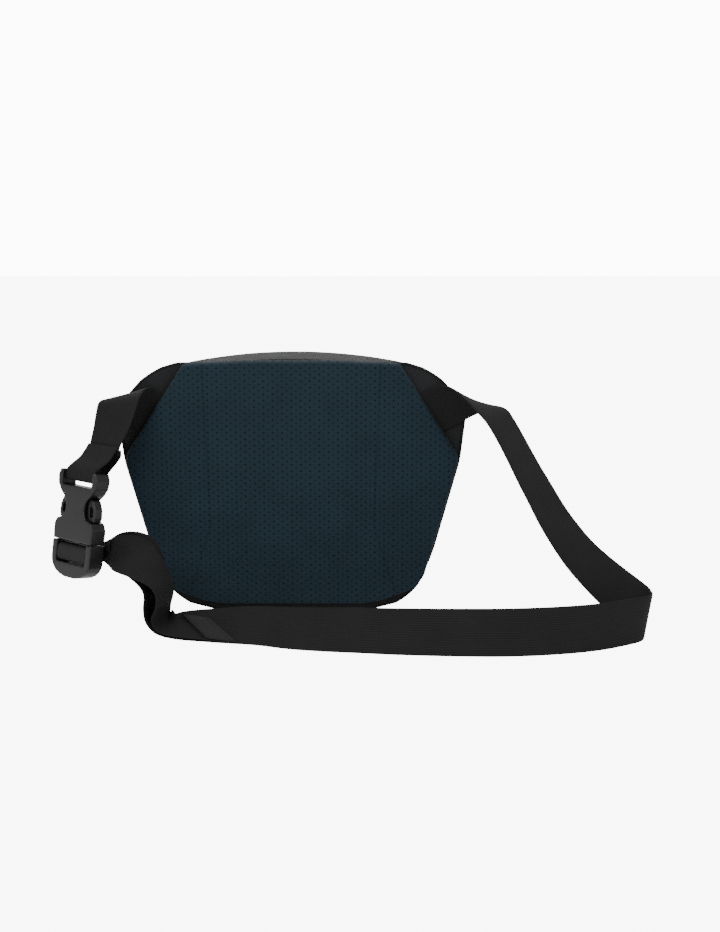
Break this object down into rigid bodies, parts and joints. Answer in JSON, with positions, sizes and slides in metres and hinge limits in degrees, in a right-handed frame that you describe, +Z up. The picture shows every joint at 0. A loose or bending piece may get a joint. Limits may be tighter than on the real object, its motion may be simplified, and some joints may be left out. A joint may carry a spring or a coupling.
{
  "type": "throw rope bag",
  "caption": "Waist-worn throw rope bag lying with its belt buckled: padded back panel, webbing belt with side-release buckle, and a lift-out throw bag behind the pad.",
  "frame": {"origin": "centre of the holster's flat base, on the surface it stands on", "axes": "+Z up, +X along the belt's long way to the right as the wearer's side is seen, -Y out of the back pad towards the wearer"},
  "size_m": [0.5004, 0.2276, 0.2204],
  "materials": {
    "back_mesh": "perforated open mesh, dark slate blue, matt",
    "foam": "closed-cell foam, matt, fine pores",
    "shell_fabric": "black coated plain weave, low sheen",
    "trim": "black woven tape and hook-and-loop",
    "webbing": "black ribbed nylon webbing, low sheen",
    "buckle_plastic": "moulded black acetal, fine texture, semi-matt",
    "frame_plastic": "black polyethylene sheet",
    "bag_fabric": "orange-red ripstop nylon",
    "rope": "yellow braided floating rope",
    "cord": "black braided cord",
    "spring_steel": "bare spring wire",
    "grommet_metal": "black enamelled brass, pressed"
  },
  "bodies": {
    "holster": {"pad_cover": "back_mesh", "pad_core": "foam", "carrier_panel": "shell_fabric", "panel_piping": "trim", "frame_sheet": "frame_plastic", "wing_left": "shell_fabric", "wing_right": "shell_fabric", "holster_pocket": "shell_fabric", "drain_grommets": "grommet_metal", "mouth_binding": "trim", "loop_strip": "trim", "short_strap": "webbing", "strap_loop": "webbing", "belt_webbing": "webbing", "belt_arch": "webbing", "belt_tail": "webbing", "tail_arch": "webbing", "tail_hem": "webbing", "buckle_socket": "buckle_plastic"},
    "plug": {"buckle_plug": "buckle_plastic", "plug_webbing": "webbing"},
    "prong_left": {"prong_left": "buckle_plastic"},
    "prong_right": {"prong_right": "buckle_plastic"},
    "throw_bag": {"throw_bag": "bag_fabric", "foam_float": "foam", "packed_rope": "rope", "mouth_collar": "bag_fabric", "drawcord": "cord", "cord_end": "buckle_plastic", "cord_lock_barrel": "buckle_plastic", "cord_lock_spring": "spring_steel", "rope_end_loop": "rope", "lid_hinge_tape": "shell_fabric"},
    "lid": {"lid_panel": "shell_fabric", "hook_strip": "trim", "lid_pull_tab": "trim", "grab_handle": "webbing"},
    "cord_lock_button": {"cord_lock_button": "buckle_plastic"}
  },
  "joints": [
    {"name": "buckle_release", "type": "slide", "parent": "holster", "child": "plug", "axis": [-0.0997, -0.1107, -0.9888], "range_m": [0, 0.038], "deforming": ["belt_arch", "tail_arch", "prong_left", "prong_right"]},
    {"name": "prong_left_press", "type": "hinge", "parent": "plug", "child": "prong_left", "pos_m": [-0.18846, -0.06742, 0.07435], "axis": [0.6618, 0.7348, -0.149], "range_deg": [0, 6], "stiffness_Nm_per_rad": 0.3},
    {"name": "prong_right_press", "type": "hinge", "parent": "plug", "child": "prong_right", "pos_m": [-0.16617, -0.0875, 0.07435], "axis": [-0.6618, -0.7348, 0.149], "range_deg": [0, 6], "stiffness_Nm_per_rad": 0.3},
    {"name": "bag_draw", "type": "slide", "parent": "holster", "child": "throw_bag", "axis": [0, 0, 1], "range_m": [0, 0.2]},
    {"name": "lid_open", "type": "hinge", "parent": "throw_bag", "child": "lid", "pos_m": [0, -0.0249, 0.217], "axis": [1, 0, 0], "range_deg": [0, 110]},
    {"name": "cord_lock_press", "type": "slide", "parent": "throw_bag", "child": "cord_lock_button", "axis": [-1, 0, 0], "range_m": [0, 0.0027], "stiffness_N_per_m": 600, "deforming": ["cord_lock_spring"]}
  ],
  "couplings": [
    {"joint": "prong_right_press", "follows": "prong_left_press", "ratio": 1}
  ]
}
